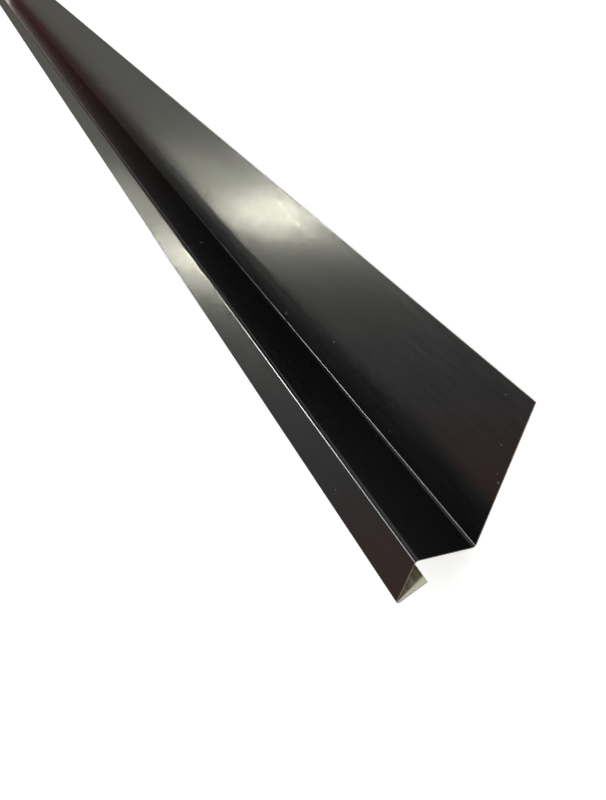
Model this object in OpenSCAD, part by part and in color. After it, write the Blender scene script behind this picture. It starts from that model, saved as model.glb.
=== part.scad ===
// Plinth flashing, one length of factory stock.
// It is a single strip of pre-painted steel sheet with three folds: a wall leg, a ledge that carries
// water out over the plinth, a drip face, and a lip that returns under the drip.
// It lies with the back of its wall leg on the floor. X runs along the stock, Y across the wall leg
// and Z away from the leg's back. The origin is the centre of that back.

/* [Stock] */
// Length of the stock, in mm
stock_length = 3000; // [500:10:6000]
// Thickness of the sheet with its coatings, in mm
sheet_t = 0.7; // [0.4:0.05:1.2]

/* [Section, measured on the painted face from corner to corner] */
// Wall leg, from its free edge to the valley corner, in mm
wall_leg = 100; // [60:1:200]
// Ledge, from the valley corner to the nose corner, in mm
ledge = 40.8; // [25:0.1:120]
// Drip face, from the nose corner to the drip corner, in mm
drip_face = 36.5; // [25:0.5:80]
// Return lip, from the drip corner to its free edge, in mm
return_lip = 24.5; // [16:0.5:30]

/* [Folds] */
// Angle that the sheet turns through at the valley, in degrees
valley_turn = 88; // [75:1:95]
// Angle that the sheet turns through at the nose, in degrees
nose_turn = 82; // [70:1:95]
// Angle that the sheet turns through at the drip, in degrees
drip_turn = 136; // [100:1:140]
// Inside radius of the valley fold, in mm
valley_radius = 2; // [0.5:0.1:3]
// Inside radius of the nose fold, in mm
nose_radius = 2; // [0.5:0.1:3]
// Inside radius of the drip fold, in mm
drip_radius = 1.2; // [0.5:0.1:2]

/* [Hidden] */
paint_colour = [0.10, 0.10, 0.11];
// Largest angle between two neighbouring facets of a fold
facet_turn = 5;
// Which way each flat runs, as an angle from the wall leg's
ledge_angle = valley_turn;
drip_angle = ledge_angle - nose_turn;
lip_angle = drip_angle - drip_turn;
// Corners of the painted face, where the flats beside each fold would meet
free_edge = [0, sheet_t];
valley_corner = free_edge + wall_leg * along(0);
nose_corner = valley_corner + ledge * along(ledge_angle);
drip_corner = nose_corner + drip_face * along(drip_angle);
lip_edge = drip_corner + return_lip * along(lip_angle);

// The way a flat runs, and the way its painted face looks.
function along(angle) = [cos(angle), sin(angle)];
function outward(angle) = [-sin(angle), cos(angle)];

// Points of one fold, at a depth below the painted face. The sheet comes in at angle from and leaves
// at angle to. radius is that of the painted face, and side is 1 where that face closes, -1 where it
// opens.
function fold(corner, from, to, radius, side, depth) =
    let (setback = radius * tan(abs(to - from) / 2))
    let (centre = corner - setback * along(from) + side * radius * outward(from))
    let (steps = ceil(abs(to - from) / facet_turn))
    [for (i = [0:steps]) centre - (side * radius + depth) * outward(from + (to - from) * i / steps)];

// Points of the whole sheet at a depth below the painted face, from the wall leg's free edge to the
// lip's.
function sheet_side(depth) = concat(
    [free_edge - depth * outward(0)],
    fold(valley_corner, 0, ledge_angle, valley_radius, 1, depth),
    fold(nose_corner, ledge_angle, drip_angle, nose_radius + sheet_t, -1, depth),
    fold(drip_corner, drip_angle, lip_angle, drip_radius + sheet_t, -1, depth),
    [lip_edge - depth * outward(lip_angle)]
);

// The folded section: out along the painted face and home along the back.
module section() {
    back = sheet_side(sheet_t);
    polygon(concat(sheet_side(0), [for (i = [len(back) - 1:-1:0]) back[i]]));
}

module flashing() {
    color(paint_colour)
    rotate([90, 0, 90])
    linear_extrude(height = stock_length, center = true)
    translate([wall_leg / 2, 0])
    mirror([1, 0])
    section();
}

flashing();
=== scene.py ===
"""Plinth flashing: the looks of one length of folded, coil-coated sheet steel.

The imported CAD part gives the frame. One piece is modelled here, the sheet itself, with its painted
face, its backing coat and its bare cut edges. It rides on the part's one body and stands for the
CAD solid. The stage is a pale floor, five lamps, a studio dome and the camera.
"""

import math
from typing import NamedTuple

import bmesh
import bpy
from mathutils import Matrix, Quaternion, Vector


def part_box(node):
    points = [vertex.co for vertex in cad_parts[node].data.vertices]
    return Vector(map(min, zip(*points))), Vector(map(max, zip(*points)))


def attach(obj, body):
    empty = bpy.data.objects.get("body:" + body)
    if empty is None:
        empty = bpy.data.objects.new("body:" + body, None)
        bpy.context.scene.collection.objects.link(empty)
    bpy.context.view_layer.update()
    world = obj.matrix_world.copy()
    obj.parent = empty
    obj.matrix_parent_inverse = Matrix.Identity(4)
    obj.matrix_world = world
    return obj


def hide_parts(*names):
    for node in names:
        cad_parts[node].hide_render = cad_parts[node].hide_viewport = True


bl_info = {
    "name": "Plinth flashing",
    "version": (1, 0, 0),
    "blender": (4, 5, 0),
    "location": "3D View > Sidebar > Flashing",
    "description": "A length of folded, coil-coated plinth flashing on a pale studio floor",
    "category": "Object",
}

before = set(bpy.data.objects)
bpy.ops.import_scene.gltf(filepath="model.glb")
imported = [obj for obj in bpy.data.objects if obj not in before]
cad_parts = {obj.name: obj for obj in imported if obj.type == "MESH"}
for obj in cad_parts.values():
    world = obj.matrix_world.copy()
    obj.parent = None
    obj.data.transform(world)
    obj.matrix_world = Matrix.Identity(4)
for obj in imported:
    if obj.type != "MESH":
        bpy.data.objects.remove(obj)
cad_low, cad_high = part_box("flashing")
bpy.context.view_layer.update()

MM = 0.001


class Lamp(NamedTuple):
    """A rectangular lamp.

    turn is how far it stands round from -X towards -Y, rise how far up from the floor, and lean how far
    its length is turned from upright, all in degrees. reach, width and length are in metres and power
    in watts. A lamp that isn't soft shows only in gloss.
    """

    name: str
    turn: float
    rise: float
    lean: float
    reach: float
    width: float
    length: float
    power: float
    colour: tuple
    soft: bool


WARM_LIGHT = (1.0, 0.985, 0.83)
COOL_LIGHT = (0.97, 1.0, 0.97)
LAMPS = (
    Lamp("upper_lamp", 15.3, 31.2, 0, 6.24, 0.094, 0.835, 14.6, WARM_LIGHT, True),
    Lamp("lower_lamp", 17.9, 24.6, 0, 6.24, 0.03, 0.274, 11.9, WARM_LIGHT, True),
    Lamp("low_glow", 15.8, 10.4, 0, 6.24, 0.549, 1.98, 2.9, WARM_LIGHT, True),
    Lamp("low_strip", 5, 43, 35, 4.0, 0.8, 0.9, 80, COOL_LIGHT, False),
    Lamp("high_strip", 0, 64, 0, 4.0, 1.2, 2.0, 80, COOL_LIGHT, False),
)


class Speck(NamedTuple):
    """A fleck of dust or a rubbed spot on the painted face: its centre and half its size, in mm."""

    place: tuple
    size: tuple


SPECKS = (
    Speck((232, -50.5, 15.7), (2.2, 2.2, 2.2)),
    Speck((1028, -50.7, 20.7), (1.3, 1.3, 1.3)),
    Speck((1388, -50.1, 4.7), (0.4, 0.4, 0.4)),
    Speck((1212, -43, 0.7), (1.4, 1.4, 1.4)),
    Speck((1300, -24, 0.7), (1.0, 1.0, 1.0)),
    Speck((1396, -41, 0.7), (0.4, 0.4, 0.4)),
    Speck((1490, 16, 0.7), (0.4, 0.4, 0.4)),
    Speck((1480, 42, 0.7), (0.4, 0.4, 0.4)),
    Speck((1412, -72.3, 43.7), (0.5, 0.5, 0.5)),
    Speck((1498, -4, 0.7), (0.4, 1.1, 0.5)),
    Speck((1495, 0, 0.7), (0.2, 0.6, 0.5)),
)


class FlashingSizes(bpy.types.PropertyGroup):
    """Sizes of the folded sheet, the same as the part's own."""

    length: bpy.props.FloatProperty(
        name="Length",
        description="Length of the stock",
        default=cad_high.x - cad_low.x,
        unit="LENGTH",
    )
    thickness: bpy.props.FloatProperty(
        name="Sheet",
        description="Thickness of the sheet with its coatings",
        default=0.7 * MM,
        unit="LENGTH",
    )
    wall_leg: bpy.props.FloatProperty(
        name="Wall leg",
        description="Wall leg, from its free edge to the valley corner",
        default=100 * MM,
        unit="LENGTH",
    )
    ledge: bpy.props.FloatProperty(
        name="Ledge",
        description="Ledge, from the valley corner to the nose corner",
        default=40.8 * MM,
        unit="LENGTH",
    )
    drip_face: bpy.props.FloatProperty(
        name="Drip face",
        description="Drip face, from the nose corner to the drip corner",
        default=36.5 * MM,
        unit="LENGTH",
    )
    return_lip: bpy.props.FloatProperty(
        name="Return lip",
        description="Lip that returns under the drip, from the drip corner to its free edge",
        default=24.5 * MM,
        unit="LENGTH",
    )
    valley_turn: bpy.props.FloatProperty(
        name="Valley turn",
        description="Angle that the sheet turns through at the valley",
        default=math.radians(88),
        subtype="ANGLE",
    )
    nose_turn: bpy.props.FloatProperty(
        name="Nose turn",
        description="Angle that the sheet turns through at the nose",
        default=math.radians(82),
        subtype="ANGLE",
    )
    drip_turn: bpy.props.FloatProperty(
        name="Drip turn",
        description="Angle that the sheet turns through at the drip",
        default=math.radians(136),
        subtype="ANGLE",
    )
    valley_radius: bpy.props.FloatProperty(
        name="Valley radius",
        description="Inside radius of the valley fold",
        default=2 * MM,
        unit="LENGTH",
    )
    nose_radius: bpy.props.FloatProperty(
        name="Nose radius",
        description="Inside radius of the nose fold",
        default=2 * MM,
        unit="LENGTH",
    )
    drip_radius: bpy.props.FloatProperty(
        name="Drip radius",
        description="Inside radius of the drip fold",
        default=1.2 * MM,
        unit="LENGTH",
    )


class FlashingFinish(bpy.types.PropertyGroup):
    """Colours and gloss of the coatings."""

    paint: bpy.props.FloatVectorProperty(
        name="Paint",
        description="Colour of the coil coating on the painted face",
        default=(0.0012, 0.0011, 0.0013),
        size=3,
        subtype="COLOR",
    )
    paint_roughness: bpy.props.FloatProperty(
        name="Paint roughness",
        description="Roughness of the coil coating",
        default=0.24,
        min=0,
        max=1,
    )
    roughness_spread: bpy.props.FloatProperty(
        name="Roughness spread",
        description="How much the paint's roughness varies from streak to streak",
        default=0.022,
    )
    grain_height: bpy.props.FloatProperty(
        name="Grain height",
        description="Depth of the rolled grain that shows through the paint",
        default=0.0022 * MM,
        unit="LENGTH",
    )
    backing: bpy.props.FloatVectorProperty(
        name="Backing coat",
        description="Colour of the thin coat on the back",
        default=(0.17, 0.16, 0.10),
        size=3,
        subtype="COLOR",
    )
    # Painted light: the pale colour of the backing coat where light gets in at the sheet's open ends
    painted_light_backing: bpy.props.FloatVectorProperty(
        name="Backing painted light",
        description="Colour of the backing coat where light is painted in near the open ends",
        default=(0.95, 0.92, 0.74),
        size=3,
        subtype="COLOR",
    )
    backing_roughness: bpy.props.FloatProperty(
        name="Backing roughness",
        description="Roughness of the backing coat",
        default=0.42,
        min=0,
        max=1,
    )
    dust: bpy.props.FloatVectorProperty(
        name="Dust",
        description="Colour of the flecks of dust on the painted face",
        default=(0.20, 0.19, 0.19),
        size=3,
        subtype="COLOR",
    )
    cut_edge: bpy.props.FloatVectorProperty(
        name="Cut edge",
        description="Colour of the sheared edge, where the steel is bare",
        default=(0.19, 0.135, 0.09),
        size=3,
        subtype="COLOR",
    )


class FlashingStudio(bpy.types.PropertyGroup):
    """The camera, the lamps and the floor."""

    camera_place: bpy.props.FloatVectorProperty(
        name="Camera place",
        description="Where the camera stands",
        default=(1.71405, 0.21194, 0.25975),
        size=3,
        subtype="TRANSLATION",
    )
    camera_heading: bpy.props.FloatVectorProperty(
        name="Camera heading",
        description="Direction that the camera looks in",
        default=(-0.7397, -0.5143, -0.4340),
        size=3,
        subtype="DIRECTION",
    )
    camera_up: bpy.props.FloatVectorProperty(
        name="Camera up",
        description="Direction that the top of the picture points in",
        default=(-0.5400, 0.8385, -0.0733),
        size=3,
        subtype="DIRECTION",
    )
    lens: bpy.props.FloatProperty(
        name="Lens", description="Focal length of the camera", default=31.5, unit="CAMERA"
    )
    lamp_level: bpy.props.FloatProperty(
        name="Lamp level", description="Brightness of all the lamps, 1 as they are listed", default=1.0
    )
    dome_light: bpy.props.FloatProperty(
        name="Dome light", description="Strength of the dome's pale side", default=1.0
    )
    dome_low: bpy.props.FloatProperty(
        name="Dome low", description="Strength of the dome beyond the stock's far end, at the floor",
        default=0.165,
    )
    dome_high: bpy.props.FloatProperty(
        name="Dome high", description="Strength of the dome beyond the stock's far end, overhead",
        default=0.33,
    )
    dome_shade: bpy.props.FloatProperty(
        name="Dome shade",
        description="What is left of that strength on the wall leg's side, where the dome is dimmest",
        default=0.12,
    )
    far_tint: bpy.props.FloatVectorProperty(
        name="Far tint",
        description="Tint of the dome beyond the stock's far end",
        default=(1.02, 1.0, 0.88),
        size=3,
        subtype="COLOR",
        max=8.0,
    )
    near_tint: bpy.props.FloatVectorProperty(
        name="Near tint",
        description="Tint of a small part of the dome, which the near end of the stock mirrors",
        default=(1.75, 0.74, 0.6),
        size=3,
        subtype="COLOR",
        max=8.0,
    )
    side_tint: bpy.props.FloatVectorProperty(
        name="Side tint",
        description="Tint of the low part of the dome that the far ledge mirrors",
        default=(3.2, 0.62, 0.3),
        size=3,
        subtype="COLOR",
        max=8.0,
    )
    floor_colour: bpy.props.FloatVectorProperty(
        name="Floor colour",
        description="Colour of the floor",
        default=(0.9, 0.9, 0.9),
        size=3,
        subtype="COLOR",
    )
    floor_lift: bpy.props.FloatProperty(
        name="Floor lift",
        description="How much the floor is lifted towards white where it is seen",
        default=0.4,
    )
    floor_width: bpy.props.FloatProperty(
        name="Floor width", description="Width of the floor", default=800, unit="LENGTH"
    )


def shader(name):
    """A new material with only its output: (material, nodes, links, output)."""
    material = bpy.data.materials.new(name)
    material.use_nodes = True
    nodes = material.node_tree.nodes
    nodes.clear()
    output = nodes.new("ShaderNodeOutputMaterial")
    return material, nodes, material.node_tree.links, output


def ramp(nodes, links, value, span, levels, smooth):
    """A Map Range from span to levels, fed by value."""
    node = nodes.new("ShaderNodeMapRange")
    node.interpolation_type = "SMOOTHSTEP" if smooth else "LINEAR"
    node.inputs["From Min"].default_value, node.inputs["From Max"].default_value = span
    node.inputs["To Min"].default_value, node.inputs["To Max"].default_value = levels
    links.new(value, node.inputs["Value"])
    return node.outputs["Result"]


def stretched_noise(nodes, links, scale, detail, roughness=0.5):
    """A noise on Object coordinates, with features 1 / scale metres long each way."""
    place = nodes.new("ShaderNodeTexCoord")
    mapping = nodes.new("ShaderNodeMapping")
    mapping.inputs["Scale"].default_value = scale
    noise = nodes.new("ShaderNodeTexNoise")
    noise.inputs["Scale"].default_value = 1.0
    noise.inputs["Detail"].default_value = detail
    noise.inputs["Roughness"].default_value = roughness
    links.new(place.outputs["Object"], mapping.inputs["Vector"])
    links.new(mapping.outputs["Vector"], noise.inputs["Vector"])
    return noise


def mixed(nodes, links, factor, first, second):
    """A colour that goes from first to second with factor. Each is an output or plain numbers."""
    node = nodes.new("ShaderNodeMix")
    node.data_type = "RGBA"
    links.new(factor, node.inputs["Factor"])
    for socket, colour in ((node.inputs["A"], first), (node.inputs["B"], second)):
        if isinstance(colour, bpy.types.NodeSocket):
            links.new(colour, socket)
        else:
            socket.default_value = (*colour, 1)
    return node.outputs["Result"]


def combined(nodes, links, operation, first, second):
    """Two values put together by a Math node. The second is an output or a plain number."""
    node = nodes.new("ShaderNodeMath")
    node.operation = operation
    links.new(first, node.inputs[0])
    if isinstance(second, bpy.types.NodeSocket):
        links.new(second, node.inputs[1])
    else:
        node.inputs[1].default_value = second
    return node.outputs["Value"]


def speck_mask(nodes, links):
    """1 inside each speck and 0 outside, with a soft rim."""
    place = nodes.new("ShaderNodeTexCoord")
    mask = None
    for speck in SPECKS:
        from_centre = nodes.new("ShaderNodeMapping")
        from_centre.vector_type = "TEXTURE"
        from_centre.inputs["Location"].default_value = [n * MM for n in speck.place]
        from_centre.inputs["Scale"].default_value = [n * MM for n in speck.size]
        links.new(place.outputs["Object"], from_centre.inputs["Vector"])
        far = nodes.new("ShaderNodeVectorMath")
        far.operation = "LENGTH"
        links.new(from_centre.outputs["Vector"], far.inputs[0])
        spot = ramp(nodes, links, far.outputs["Value"], (0.5, 1.2), (1, 0), True)
        mask = combined(nodes, links, "MAXIMUM", spot, mask if mask else 0.0)
    return mask


def paint_material(finish):
    """Near-black coil coating, satin, with the sheet's rolled grain just showing along it."""
    # The streaks and the grain are about 30 mm long and 2 to 3 mm wide
    streak_scale = (28, 380, 380)
    grain_scale = (35, 450, 450)
    material, nodes, links, output = shader("black_coil_coating")
    coat = nodes.new("ShaderNodeBsdfPrincipled")
    coat.inputs["IOR"].default_value = 1.5
    specks = speck_mask(nodes, links)
    links.new(mixed(nodes, links, specks, finish.paint, finish.dust), coat.inputs["Base Color"])
    streaks = stretched_noise(nodes, links, streak_scale, 2.0, 0.6)
    spread = finish.roughness_spread
    levels = (finish.paint_roughness - spread, finish.paint_roughness + spread)
    roughness = ramp(nodes, links, streaks.outputs["Fac"], (0.3, 0.7), levels, False)
    links.new(roughness, coat.inputs["Roughness"])
    grain = stretched_noise(nodes, links, grain_scale, 2.0)
    relief = nodes.new("ShaderNodeBump")
    relief.inputs["Strength"].default_value = 1.0
    relief.inputs["Distance"].default_value = finish.grain_height
    links.new(grain.outputs["Fac"], relief.inputs["Height"])
    links.new(relief.outputs["Normal"], coat.inputs["Normal"])
    links.new(coat.outputs["BSDF"], output.inputs["Surface"])
    return material


def backing_material(finish, half_length):
    """Thin grey-green coat on the back of the sheet, streaky, with painted light: pale along the sheared
    ends, where light gets in.

    The painted light is a wedge, with the drip face's painted shade beyond it. It reaches further from the
    end where the sheet is lower.
    """
    # The wedge of painted light: how far it reaches in from each end, at two heights
    wedge_heights = (45 * MM, 27 * MM)
    wedge_reaches = (0.5 * MM, 4.6 * MM)
    wedge_rim = (-1.3, -0.7)
    streak_scale = (25, 260, 260)
    streak_cover = 0.2
    material, nodes, links, output = shader("grey_green_backing_coat")
    coat = nodes.new("ShaderNodeBsdfPrincipled")
    coat.inputs["Roughness"].default_value = finish.backing_roughness
    place = nodes.new("ShaderNodeTexCoord")
    parts = nodes.new("ShaderNodeSeparateXYZ")
    links.new(place.outputs["Object"], parts.inputs["Vector"])
    along = nodes.new("ShaderNodeMath")
    along.operation = "ABSOLUTE"
    links.new(parts.outputs["X"], along.inputs[0])
    short = combined(nodes, links, "SUBTRACT", along.outputs["Value"], half_length)
    reach = ramp(nodes, links, parts.outputs["Z"], wedge_heights, wedge_reaches, False)
    light_reach_ratio = combined(nodes, links, "DIVIDE", short, reach)
    # Painted light: 1 in the pale pool at the ends, 0 deeper in, under the drip face's shade
    painted_light = ramp(nodes, links, light_reach_ratio, wedge_rim, (0, 1), True)
    streaks = stretched_noise(nodes, links, streak_scale, 3.0, 0.6)
    thin = ramp(nodes, links, streaks.outputs["Fac"], (0.4, 0.7), (0, streak_cover), True)
    cover = combined(nodes, links, "MAXIMUM", painted_light, thin)
    # The backing colour, with painted light mixed in at the ends and random streaks over it
    colour = mixed(nodes, links, cover, finish.backing, finish.painted_light_backing)
    links.new(colour, coat.inputs["Base Color"])
    links.new(coat.outputs["BSDF"], output.inputs["Surface"])
    return material


def edge_material(finish):
    """Sheared steel edge, dull, with fine dark marks from the shear."""
    mark_scale = (900, 900, 900)
    mark_shade = 0.6
    material, nodes, links, output = shader("sheared_steel_edge")
    steel = nodes.new("ShaderNodeBsdfPrincipled")
    steel.inputs["Roughness"].default_value = 0.6
    marks = stretched_noise(nodes, links, mark_scale, 2.0)
    worn = ramp(nodes, links, marks.outputs["Fac"], (0.35, 0.65), (0, 1), True)
    dark = [mark_shade * level for level in finish.cut_edge]
    links.new(mixed(nodes, links, worn, dark, finish.cut_edge), steel.inputs["Base Color"])
    links.new(steel.outputs["BSDF"], output.inputs["Surface"])
    return material


class SheetWalk:
    """Walks a line of edges through flats and folds, and leaves the sheet's painted face behind it.

    The line lies along X. place is where it is in the section, heading the way that the sheet runs,
    and out the way that the painted face looks, all in Y and Z.
    """

    def __init__(self, bm, line, place, heading, out):
        self.bm = bm
        self.line = line
        self.place = place
        self.heading = heading
        self.out = out

    def flat(self, runs):
        """Extrude the line along its heading, once for each length in runs."""
        for run in runs:
            grown = bmesh.ops.extrude_edge_only(self.bm, edges=self.line)["geom"]
            verts = [g for g in grown if isinstance(g, bmesh.types.BMVert)]
            bmesh.ops.translate(self.bm, verts=verts, vec=self.heading * run)
            self.line = [g for g in grown if isinstance(g, bmesh.types.BMEdge) and
                         all(v in verts for v in g.verts)]
            self.place = self.place + self.heading * run

    def fold(self, turn, radius, steps, towards):
        """Spin the line round a fold. towards is 1 where the painted face closes, and -1 where it opens."""
        centre = self.place + self.out * radius * towards
        axis = self.heading.cross(self.out) * towards
        spun = bmesh.ops.spin(
            self.bm,
            geom=self.line,
            cent=centre,
            axis=axis,
            angle=turn,
            steps=steps,
            use_duplicate=False,
        )["geom_last"]
        self.line = [g for g in spun if isinstance(g, bmesh.types.BMEdge)]
        turned = Matrix.Rotation(turn, 3, axis)
        self.place = centre + turned @ (self.place - centre)
        self.heading = turned @ self.heading
        self.out = turned @ self.out


def bands(run, fine, count):
    """A flat's length as a narrow band at each end and count even ones between."""
    return [fine] + [(run - 2 * fine) / count] * count + [fine]


def painted_face(bm, sizes):
    """The sheet's painted face, walked from the wall leg's free edge to the lip's."""
    bays = 60
    fold_steps = 12
    fine = 1.2 * MM
    valley_setback = sizes.valley_radius * math.tan(sizes.valley_turn / 2)
    nose_setback = (sizes.nose_radius + sizes.thickness) * math.tan(sizes.nose_turn / 2)
    drip_setback = (sizes.drip_radius + sizes.thickness) * math.tan(sizes.drip_turn / 2)
    start = Vector((0, sizes.wall_leg / 2, sizes.thickness))
    ends = [bm.verts.new(start + Vector((x, 0, 0))) for x in (-sizes.length / 2, sizes.length / 2)]
    line = [bm.edges.new(ends)]
    bmesh.ops.subdivide_edges(bm, edges=line, cuts=bays - 1)
    walk = SheetWalk(bm, list(bm.edges), start, Vector((0, -1, 0)), Vector((0, 0, 1)))
    walk.flat(bands(sizes.wall_leg - valley_setback, fine, 8))
    walk.fold(sizes.valley_turn, sizes.valley_radius, fold_steps, 1)
    walk.flat(bands(sizes.ledge - valley_setback - nose_setback, fine, 4))
    walk.fold(sizes.nose_turn, sizes.nose_radius + sizes.thickness, fold_steps, -1)
    walk.flat(bands(sizes.drip_face - nose_setback - drip_setback, fine, 3))
    walk.fold(sizes.drip_turn, sizes.drip_radius + sizes.thickness, 2 * fold_steps, -1)
    walk.flat(bands(sizes.return_lip - drip_setback, fine, 2))


def put_in_order(bm):
    """Sort the edges and faces by their corners, because the operators leave them in a chance order."""
    bm.verts.index_update()
    count = len(bm.verts)

    def rank(part):
        corners = [corner.index for corner in part.verts]
        return min(corners) * count + max(corners)

    bm.edges.sort(key=rank)
    bm.faces.sort(key=rank)


class FLASHING_OT_sheet(bpy.types.Operator):
    """Model the folded sheet in place of the CAD solid."""

    bl_idname = "flashing.sheet"
    bl_label = "Folded sheet"

    def execute(self, context):
        sizes = context.scene.flashing_sizes
        finish = context.scene.flashing_finish
        mesh = bpy.data.meshes.new("folded_sheet")
        bm = bmesh.new()
        painted_face(bm, sizes)
        bmesh.ops.recalc_face_normals(bm, faces=bm.faces)
        leg = max(bm.faces, key=lambda face: face.calc_center_median().y)
        if leg.normal.z < 0:
            bmesh.ops.reverse_faces(bm, faces=bm.faces)
        for face in bm.faces:
            face.smooth = True
        for edge in bm.edges:
            edge.smooth = not edge.is_boundary
        put_in_order(bm)
        bm.to_mesh(mesh)
        bm.free()
        sheet = bpy.data.objects.new("folded_sheet", mesh)
        context.scene.collection.objects.link(sheet)
        mesh.materials.append(paint_material(finish))
        mesh.materials.append(backing_material(finish, sizes.length / 2))
        mesh.materials.append(edge_material(finish))
        wall = sheet.modifiers.new("sheet_thickness", "SOLIDIFY")
        wall.thickness = sizes.thickness
        wall.offset = -1
        wall.use_even_offset = True
        wall.use_quality_normals = True
        wall.use_rim = True
        wall.material_offset = 1
        wall.material_offset_rim = 2
        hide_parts("flashing")
        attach(sheet, "root")
        return {"FINISHED"}


def direction(turn, rise):
    """The way to a lamp: turn is round from -X towards -Y, and rise is up from the floor."""
    return Vector((-math.cos(rise) * math.cos(turn), -math.cos(rise) * math.sin(turn), math.sin(rise)))


def hang_lamp(scene, lamp, level):
    """Hang a lamp so that it faces the near half of the wall leg."""
    aim = Vector((1.2, 0, 0))
    way = direction(math.radians(lamp.turn), math.radians(lamp.rise))
    light = bpy.data.lights.new(lamp.name, "AREA")
    light.shape = "RECTANGLE"
    light.size = lamp.width
    light.size_y = lamp.length
    light.energy = lamp.power * level
    light.color = lamp.colour
    hung = bpy.data.objects.new(lamp.name, light)
    hung.location = aim + way * lamp.reach
    facing = (-way).to_track_quat("-Z", "Y") @ Quaternion((0, 0, 1), math.radians(lamp.lean))
    hung.rotation_euler = facing.to_euler()
    hung.visible_camera = False
    hung.visible_diffuse = lamp.soft
    scene.collection.objects.link(hung)


def floor_material(studio):
    """Pale matt floor, lifted towards white where it is seen, directly or mirrored."""
    material, nodes, links, output = shader("pale_floor")
    matt = nodes.new("ShaderNodeBsdfDiffuse")
    matt.inputs["Color"].default_value = (*studio.floor_colour, 1)
    rays = nodes.new("ShaderNodeLightPath").outputs
    seen = combined(nodes, links, "MAXIMUM", rays["Is Camera Ray"], rays["Is Glossy Ray"])
    seen = combined(nodes, links, "MAXIMUM", seen, rays["Is Transmission Ray"])
    lift = nodes.new("ShaderNodeEmission")
    links.new(combined(nodes, links, "MULTIPLY", seen, studio.floor_lift), lift.inputs["Strength"])
    both = nodes.new("ShaderNodeAddShader")
    links.new(matt.outputs["BSDF"], both.inputs[0])
    links.new(lift.outputs["Emission"], both.inputs[1])
    links.new(both.outputs["Shader"], output.inputs["Surface"])
    return material


def lay_floor(scene, studio):
    """Lay the floor just under the sheet, so that the two faces don't flicker."""
    drop = 0.2 * MM
    mesh = bpy.data.meshes.new("floor")
    bm = bmesh.new()
    bmesh.ops.create_grid(bm, x_segments=1, y_segments=1, size=studio.floor_width / 2)
    bmesh.ops.translate(bm, verts=bm.verts, vec=(0, 0, -drop))
    bm.to_mesh(mesh)
    bm.free()
    mesh.materials.append(floor_material(studio))
    floor = bpy.data.objects.new("floor", mesh)
    scene.collection.objects.link(floor)


def nearness(nodes, links, way, centre, span):
    """How near a way is to centre, from 0 to 1 as their dot product crosses span."""
    dot = nodes.new("ShaderNodeVectorMath")
    dot.operation = "DOT_PRODUCT"
    dot.inputs[1].default_value = centre.normalized()
    links.new(way, dot.inputs[0])
    return ramp(nodes, links, dot.outputs["Value"], span, (0, 1), True)


def dome_strength(nodes, links, studio, way, parts):
    """Full strength all round, and dim beyond the stock's far end, apart from one pale panel there."""
    far_way = direction(0, math.radians(25))
    panel_way = Vector((-0.52, 0.76, 0.39))
    levels = (studio.dome_low, studio.dome_high)
    height = ramp(nodes, links, parts["Z"], (0, 1), levels, False)
    side = ramp(nodes, links, parts["Y"], (-0.12, 0.25), (1, studio.dome_shade), True)
    dim = combined(nodes, links, "MULTIPLY", height, side)
    far_part = nearness(nodes, links, way, far_way, (0.45, 0.75))
    panel = nearness(nodes, links, way, panel_way, (0.955, 0.985))
    strength = nodes.new("ShaderNodeMix")
    strength.data_type = "FLOAT"
    strength.clamp_factor = True
    strength.inputs["A"].default_value = studio.dome_light
    links.new(combined(nodes, links, "SUBTRACT", far_part, panel), strength.inputs["Factor"])
    links.new(dim, strength.inputs["B"])
    return strength.outputs["Result"]


def dome_tint(nodes, links, studio, way, parts):
    """White all round, with three tints beyond the stock's far end that its paint mirrors."""
    near_way = Vector((-0.51, -0.585, 0.63))
    far_part = ramp(nodes, links, parts["X"], (-0.75, -0.9), (0, 1), True)
    tint = mixed(nodes, links, far_part, (1, 1, 1), studio.far_tint)
    near_part = nearness(nodes, links, way, near_way, (0.988, 0.997))
    tint = mixed(nodes, links, near_part, tint, studio.near_tint)
    farthest = ramp(nodes, links, parts["X"], (-0.92, -0.97), (0, 1), True)
    leg_side = ramp(nodes, links, parts["Y"], (0.0, 0.12), (0, 1), True)
    side_part = combined(nodes, links, "MULTIPLY", farthest, leg_side)
    return mixed(nodes, links, side_part, tint, studio.side_tint)


def dome_world(studio):
    """A soft dome, pale all round and overhead, and dim and a little warm beyond the stock's far end.

    That holds for its light and for gloss. Seen directly, the whole dome is plain white, as the floor is.
    """
    world = bpy.data.worlds.new("studio_dome")
    world.use_nodes = True
    nodes = world.node_tree.nodes
    links = world.node_tree.links
    nodes.clear()
    output = nodes.new("ShaderNodeOutputWorld")
    way = nodes.new("ShaderNodeTexCoord").outputs["Generated"]
    split = nodes.new("ShaderNodeSeparateXYZ")
    links.new(way, split.inputs["Vector"])
    lit = nodes.new("ShaderNodeBackground")
    links.new(dome_strength(nodes, links, studio, way, split.outputs), lit.inputs["Strength"])
    links.new(dome_tint(nodes, links, studio, way, split.outputs), lit.inputs["Color"])
    plain = nodes.new("ShaderNodeBackground")
    plain.inputs["Color"].default_value = (1, 1, 1, 1)
    plain.inputs["Strength"].default_value = 1.0
    rays = nodes.new("ShaderNodeLightPath").outputs
    seen = combined(nodes, links, "MAXIMUM", rays["Is Camera Ray"], rays["Is Transmission Ray"])
    shown = nodes.new("ShaderNodeMixShader")
    links.new(seen, shown.inputs["Fac"])
    links.new(lit.outputs["Background"], shown.inputs[1])
    links.new(plain.outputs["Background"], shown.inputs[2])
    links.new(shown.outputs["Shader"], output.inputs["Surface"])
    return world


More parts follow.
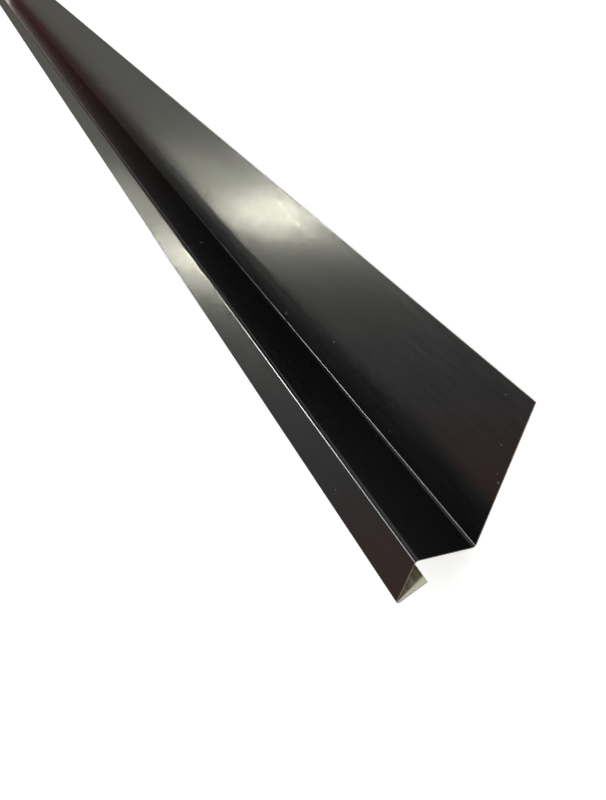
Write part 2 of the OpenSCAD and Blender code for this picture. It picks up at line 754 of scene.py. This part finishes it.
def set_camera(scene, studio):
    """Stand the camera where the photo was taken from, and look through it."""
    view = bpy.data.cameras.new("camera")
    view.lens = studio.lens
    view.clip_start = 0.01
    view.clip_end = 2000
    camera = bpy.data.objects.new("camera", view)
    back = -Vector(studio.camera_heading).normalized()
    right = Vector(studio.camera_up).cross(back).normalized()
    turned = Matrix((right, back.cross(right), back)).transposed()
    camera.rotation_euler = turned.to_euler()
    camera.location = studio.camera_place
    scene.collection.objects.link(camera)
    scene.camera = camera


class FLASHING_OT_stage(bpy.types.Operator):
    """Lay the floor, hang the lamps and set the camera."""

    bl_idname = "flashing.stage"
    bl_label = "Studio stage"

    def execute(self, context):
        scene = context.scene
        studio = scene.flashing_studio
        scene.view_settings.view_transform = "Standard"
        lay_floor(scene, studio)
        scene.world = dome_world(studio)
        for lamp in LAMPS:
            hang_lamp(scene, lamp, studio.lamp_level)
        set_camera(scene, studio)
        return {"FINISHED"}


class FLASHING_PT_panel(bpy.types.Panel):
    """The flashing's tools and sizes."""

    bl_idname = "FLASHING_PT_panel"
    bl_label = "Plinth flashing"
    bl_space_type = "VIEW_3D"
    bl_region_type = "UI"
    bl_category = "Flashing"

    def draw(self, context):
        layout = self.layout
        layout.operator("flashing.sheet")
        layout.operator("flashing.stage")
        for group in ("flashing_sizes", "flashing_finish", "flashing_studio"):
            box = layout.box()
            settings = getattr(context.scene, group)
            for name in settings.bl_rna.properties.keys():
                if name not in ("rna_type", "name"):
                    box.prop(settings, name)


CLASSES = (
    FlashingSizes,
    FlashingFinish,
    FlashingStudio,
    FLASHING_OT_sheet,
    FLASHING_OT_stage,
    FLASHING_PT_panel,
)


def register():
    for cls in CLASSES:
        bpy.utils.register_class(cls)
    bpy.types.Scene.flashing_sizes = bpy.props.PointerProperty(type=FlashingSizes)
    bpy.types.Scene.flashing_finish = bpy.props.PointerProperty(type=FlashingFinish)
    bpy.types.Scene.flashing_studio = bpy.props.PointerProperty(type=FlashingStudio)


def unregister():
    del bpy.types.Scene.flashing_studio
    del bpy.types.Scene.flashing_finish
    del bpy.types.Scene.flashing_sizes
    for cls in reversed(CLASSES):
        bpy.utils.unregister_class(cls)


def main():
    """Build the scene."""
    register()
    bpy.ops.flashing.sheet()
    bpy.ops.flashing.stage()


if __name__ == "__main__":
    main()
